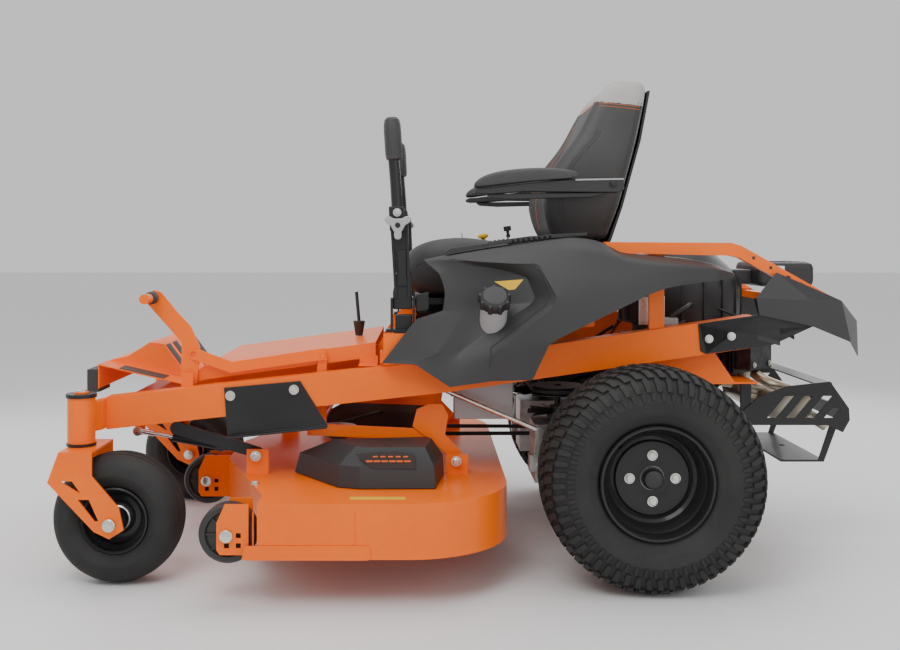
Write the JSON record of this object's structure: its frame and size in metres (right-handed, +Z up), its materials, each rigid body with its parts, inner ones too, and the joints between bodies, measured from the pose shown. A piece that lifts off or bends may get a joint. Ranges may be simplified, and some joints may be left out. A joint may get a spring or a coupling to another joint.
{
  "type": "zero turn mower",
  "caption": "Ride-on zero turn mower: welded rail frame on swivelling front casters, suspended cutting deck, rear engine, high-back seat and twin swing-out steering levers.",
  "frame": {"origin": "middle of the footprint on the ground, between the front of the caster forks and the tail guard, and between the deck's left edge and the tip of the discharge chute", "axes": "+X forwards, +Y to the operator's left, +Z up"},
  "size_m": [2.1448, 1.635, 1.345],
  "materials": {
    "orange_paint": "gloss orange powder coat",
    "black_paint": "satin black powder coat",
    "dark_plastic": "grained dark grey moulding",
    "guard_plastic": "satin dark grey moulding",
    "black_plastic": "matt black moulding",
    "grey_plastic": "light grey moulding",
    "yellow_plastic": "gloss yellow moulding",
    "engine_plastic": "matt black engine shroud",
    "engine_casting": "dark cast engine block",
    "bare_steel": "bare pressed steel with heat colour",
    "machined_steel": "machined steel",
    "zinc_steel": "bright zinc plate",
    "chrome_steel": "hard chrome",
    "cast_aluminium": "die-cast aluminium",
    "tyre_rubber": "black tyre rubber on painted rim",
    "grip_rubber": "ribbed black rubber",
    "belt_rubber": "black belt",
    "seat_vinyl": "dark grey grained vinyl"
  },
  "bodies": {
    "chassis": {"frame": "orange_paint", "floor_pan": "orange_paint", "toe_board_trim": "grip_rubber", "side_plates": "black_paint", "fenders": "dark_plastic", "console_lids": "dark_plastic", "fuel_tanks": "grey_plastic", "hood_frame": "orange_paint", "rear_guard": "guard_plastic", "rear_cage": "black_paint", "muffler": "bare_steel", "engine_block": "engine_casting", "engine_covers": "engine_plastic", "transaxles": "cast_aluminium", "fasteners": "zinc_steel", "belts": "belt_rubber"},
    "deck": {"deck_shell": "orange_paint", "deck_covers": "dark_plastic"},
    "seat": {"seat_pan": "black_paint", "seat_cushion": "seat_vinyl", "seat_back": "seat_vinyl"},
    "ignition_key": {"ignition_key": "zinc_steel"},
    "clutch_knob": {"clutch_knob": "yellow_plastic"},
    "throttle_lever": {"throttle_lever": "black_plastic"},
    "crankshaft": {"crankshaft": "machined_steel"},
    "chute": {"chute": "black_plastic"},
    "lift_arms": {"lift_arms": "orange_paint"},
    "front_lift_arms": {"front_lift_arms": "black_paint"},
    "lift_link": {"lift_link": "orange_paint"},
    "foot_pedal": {"foot_pedal": "orange_paint"},
    "strut_rod": {"strut_rod": "chrome_steel"},
    "strut_cylinder": {"strut_cylinder": "black_paint"},
    "height_pin": {"height_pin": "black_plastic"},
    "seat_platform": {"seat_platform": "black_paint"},
    "blade_left": {"blade_left": "machined_steel"},
    "antiscalp_wheel_left": {"antiscalp_wheel_left": "dark_plastic"},
    "blade_centre": {"blade_centre": "machined_steel"},
    "antiscalp_wheel_centre": {"antiscalp_wheel_centre": "dark_plastic"},
    "blade_right": {"blade_right": "machined_steel"},
    "antiscalp_wheel_right": {"antiscalp_wheel_right": "dark_plastic"},
    "fuel_cap_left": {"fuel_cap_left": "black_plastic"},
    "caster_fork_left": {"caster_fork_left": "orange_paint"},
    "caster_wheel_left": {"caster_wheel_left": "tyre_rubber"},
    "drive_wheel_left": {"drive_wheel_left": "tyre_rubber"},
    "transaxle_fan_left": {"transaxle_fan_left": "black_plastic"},
    "control_arm_left": {"control_arm_left": "zinc_steel"},
    "steering_rod_left": {"steering_rod_left": "zinc_steel"},
    "lever_base_left": {"lever_base_left": "black_paint"},
    "lever_left": {"lever_left": "black_paint"},
    "armrest_left": {"armrest_left": "seat_vinyl"},
    "fuel_cap_right": {"fuel_cap_right": "black_plastic"},
    "caster_fork_right": {"caster_fork_right": "orange_paint"},
    "caster_wheel_right": {"caster_wheel_right": "tyre_rubber"},
    "drive_wheel_right": {"drive_wheel_right": "tyre_rubber"},
    "transaxle_fan_right": {"transaxle_fan_right": "black_plastic"},
    "control_arm_right": {"control_arm_right": "zinc_steel"},
    "steering_rod_right": {"steering_rod_right": "zinc_steel"},
    "lever_base_right": {"lever_base_right": "black_paint"},
    "lever_right": {"lever_right": "black_paint"},
    "armrest_right": {"armrest_right": "seat_vinyl"}
  },
  "joints": [
    {"name": "caster_swivel_left", "type": "hinge", "parent": "chassis", "child": "caster_fork_left", "pos_m": [1.0135, 0.5825, 0.4], "axis": [0, 0, 1], "continuous": true},
    {"name": "caster_roll_left", "type": "hinge", "parent": "caster_fork_left", "child": "caster_wheel_left", "pos_m": [0.9135, 0.5825, 0.1651], "axis": [0, 1, 0], "continuous": true},
    {"name": "drive_roll_left", "type": "hinge", "parent": "chassis", "child": "drive_wheel_left", "pos_m": [-0.4355, 0.6385, 0.2794], "axis": [0, 1, 0], "continuous": true},
    {"name": "lever_push_left", "type": "hinge", "parent": "chassis", "child": "lever_base_left", "pos_m": [0.1975, 0.4825, 0.612], "axis": [0, 1, 0], "range_deg": [-9.74, 20.05]},
    {"name": "lever_swing_left", "type": "hinge", "parent": "lever_base_left", "child": "lever_left", "pos_m": [0.1895, 0.4925, 0.704], "axis": [-1, 0, 0], "range_deg": [0, 34.38]},
    {"name": "steering_rod_turn_left", "type": "hinge", "parent": "lever_base_left", "child": "steering_rod_left", "pos_m": [0.1825, 0.4325, 0.512], "axis": [0, 1, 0], "range_deg": [-21.2, 10.89]},
    {"name": "control_arm_turn_left", "type": "hinge", "parent": "chassis", "child": "control_arm_left", "pos_m": [-0.1735, 0.4675, 0.27], "axis": [0, 1, 0], "range_deg": [-24.06, 12.61]},
    {"name": "fuel_cap_lift_left", "type": "slide", "parent": "chassis", "child": "fuel_cap_left", "axis": [0, 0.7071, 0.7071], "range_m": [0, 0.05]},
    {"name": "armrest_fold_left", "type": "hinge", "parent": "seat", "child": "armrest_left", "pos_m": [-0.3775, 0.4225, 1.026], "axis": [0, -1, 0], "range_deg": [0, 74.48]},
    {"name": "caster_swivel_right", "type": "hinge", "parent": "chassis", "child": "caster_fork_right", "pos_m": [1.0135, -0.3175, 0.4], "axis": [0, 0, 1], "continuous": true},
    {"name": "caster_roll_right", "type": "hinge", "parent": "caster_fork_right", "child": "caster_wheel_right", "pos_m": [0.9135, -0.3175, 0.1651], "axis": [0, 1, 0], "continuous": true},
    {"name": "drive_roll_right", "type": "hinge", "parent": "chassis", "child": "drive_wheel_right", "pos_m": [-0.4355, -0.3735, 0.2794], "axis": [0, 1, 0], "continuous": true},
    {"name": "lever_push_right", "type": "hinge", "parent": "chassis", "child": "lever_base_right", "pos_m": [0.1975, -0.2175, 0.612], "axis": [0, 1, 0], "range_deg": [-9.74, 20.05]},
    {"name": "lever_swing_right", "type": "hinge", "parent": "lever_base_right", "child": "lever_right", "pos_m": [0.1895, -0.2275, 0.704], "axis": [1, 0, 0], "range_deg": [0, 34.38]},
    {"name": "steering_rod_turn_right", "type": "hinge", "parent": "lever_base_right", "child": "steering_rod_right", "pos_m": [0.1825, -0.1675, 0.512], "axis": [0, 1, 0], "range_deg": [-21.2, 10.89]},
    {"name": "control_arm_turn_right", "type": "hinge", "parent": "chassis", "child": "control_arm_right", "pos_m": [-0.1735, -0.2025, 0.27], "axis": [0, 1, 0], "range_deg": [-24.06, 12.61]},
    {"name": "fuel_cap_lift_right", "type": "slide", "parent": "chassis", "child": "fuel_cap_right", "axis": [0, -0.7071, 0.7071], "range_m": [0, 0.05]},
    {"name": "armrest_fold_right", "type": "hinge", "parent": "seat", "child": "armrest_right", "pos_m": [-0.3775, -0.1575, 1.026], "axis": [0, -1, 0], "range_deg": [0, 74.48]},
    {"name": "engine_turn", "type": "hinge", "parent": "chassis", "child": "crankshaft", "pos_m": [-0.6185, 0.1325, 0.6], "axis": [0, 0, 1], "continuous": true},
    {"name": "fan_turn_left", "type": "hinge", "parent": "chassis", "child": "transaxle_fan_left", "pos_m": [-0.2395, 0.3475, 0.4], "axis": [0, 0, 1], "continuous": true},
    {"name": "fan_turn_right", "type": "hinge", "parent": "chassis", "child": "transaxle_fan_right", "pos_m": [-0.2395, -0.0825, 0.4], "axis": [0, 0, 1], "continuous": true},
    {"name": "deck_height", "type": "slide", "parent": "chassis", "child": "deck", "axis": [0, 0, 1], "range_m": [-0.076, 0], "deforming": ["belts"]},
    {"name": "blade_turn_left", "type": "hinge", "parent": "deck", "child": "blade_left", "pos_m": [0.1715, 0.5605, 0.25], "axis": [0, 0, 1], "continuous": true},
    {"name": "blade_turn_centre", "type": "hinge", "parent": "deck", "child": "blade_centre", "pos_m": [0.3965, 0.1325, 0.25], "axis": [0, 0, 1], "continuous": true},
    {"name": "blade_turn_right", "type": "hinge", "parent": "deck", "child": "blade_right", "pos_m": [0.1715, -0.2955, 0.25], "axis": [0, 0, 1], "continuous": true},
    {"name": "antiscalp_roll_left", "type": "hinge", "parent": "deck", "child": "antiscalp_wheel_left", "pos_m": [0.6005, 0.7645, 0.172], "axis": [0, 1, 0], "continuous": true},
    {"name": "antiscalp_roll_centre", "type": "hinge", "parent": "deck", "child": "antiscalp_wheel_centre", "pos_m": [0.7675, 0.1725, 0.172], "axis": [0, 1, 0], "continuous": true},
    {"name": "antiscalp_roll_right", "type": "hinge", "parent": "deck", "child": "antiscalp_wheel_right", "pos_m": [0.6005, -0.4995, 0.172], "axis": [0, 1, 0], "continuous": true},
    {"name": "chute_lift", "type": "hinge", "parent": "deck", "child": "chute", "pos_m": [0.3345, -0.5555, 0.25], "axis": [-1, 0, 0], "range_deg": [0, 90]},
    {"name": "lift_arms_turn", "type": "hinge", "parent": "chassis", "child": "lift_arms", "pos_m": [0.4245, 0.1325, 0.362], "axis": [0, 1, 0], "range_deg": [-12.32, 0]},
    {"name": "front_lift_turn", "type": "hinge", "parent": "chassis", "child": "front_lift_arms", "pos_m": [0.7995, 0.1325, 0.366], "axis": [0, 1, 0], "range_deg": [-22.35, 0]},
    {"name": "lift_link_turn", "type": "hinge", "parent": "lift_arms", "child": "lift_link", "pos_m": [0.4065, 0.4425, 0.56], "axis": [0, -1, 0], "range_deg": [-12.32, 0]},
    {"name": "foot_pedal_turn", "type": "hinge", "parent": "chassis", "child": "foot_pedal", "pos_m": [0.7695, 0.4325, 0.5], "axis": [0, 1, 0], "range_deg": [-37.82, 0]},
    {"name": "strut_rod_turn", "type": "hinge", "parent": "chassis", "child": "strut_rod", "pos_m": [0.9085, 0.4265, 0.356], "axis": [0, 1, 0], "range_deg": [-12.03, 0]},
    {"name": "strut_slide", "type": "slide", "parent": "strut_rod", "child": "strut_cylinder", "axis": [-0.9838, 0, -0.1793], "range_m": [-0.016, 0]},
    {"name": "height_pin_lift", "type": "slide", "parent": "chassis", "child": "height_pin", "axis": [0, 0, 1], "range_m": [0, 0.02]},
    {"name": "seat_tilt", "type": "hinge", "parent": "chassis", "child": "seat_platform", "pos_m": [0.1725, 0.1325, 0.668], "axis": [0, 1, 0], "range_deg": [0, 31.51]},
    {"name": "seat_slide", "type": "slide", "parent": "seat_platform", "child": "seat", "axis": [1, 0, 0], "range_m": [-0.05, 0.05]},
    {"name": "ignition_key_turn", "type": "hinge", "parent": "chassis", "child": "ignition_key", "pos_m": [0.0045, -0.1995, 0.8603], "axis": [0.1333, 0, 0.9911], "range_deg": [0, 60]},
    {"name": "clutch_knob_pull", "type": "slide", "parent": "chassis", "child": "clutch_knob", "axis": [0.1333, 0, 0.9911], "range_m": [0, 0.012]},
    {"name": "throttle_turn", "type": "hinge", "parent": "chassis", "child": "throttle_lever", "pos_m": [-0.14417, -0.1995, 0.8904], "axis": [0, 1, 0], "range_deg": [-25.78, 25.78]}
  ],
  "couplings": [
    {"joint": "steering_rod_turn_left", "follows": "lever_push_left", "ratio": -1},
    {"joint": "control_arm_turn_left", "follows": "lever_push_left", "ratio": -1.1},
    {"joint": "steering_rod_turn_right", "follows": "lever_push_right", "ratio": -1},
    {"joint": "control_arm_turn_right", "follows": "lever_push_right", "ratio": -1.1},
    {"joint": "fan_turn_left", "follows": "engine_turn", "ratio": 1.0968},
    {"joint": "fan_turn_right", "follows": "engine_turn", "ratio": 1.0968},
    {"joint": "blade_turn_left", "follows": "engine_turn", "ratio": 1},
    {"joint": "blade_turn_centre", "follows": "engine_turn", "ratio": 1},
    {"joint": "blade_turn_right", "follows": "engine_turn", "ratio": 1},
    {"joint": "lift_arms_turn", "follows": "deck_height", "rad_per_m": 2.65},
    {"joint": "front_lift_turn", "follows": "deck_height", "rad_per_m": 4.92},
    {"joint": "lift_link_turn", "follows": "deck_height", "rad_per_m": 2.65},
    {"joint": "foot_pedal_turn", "follows": "deck_height", "rad_per_m": 8.5},
    {"joint": "strut_rod_turn", "follows": "deck_height", "rad_per_m": 2.66},
    {"joint": "strut_slide", "follows": "deck_height", "ratio": 0.196}
  ]
}
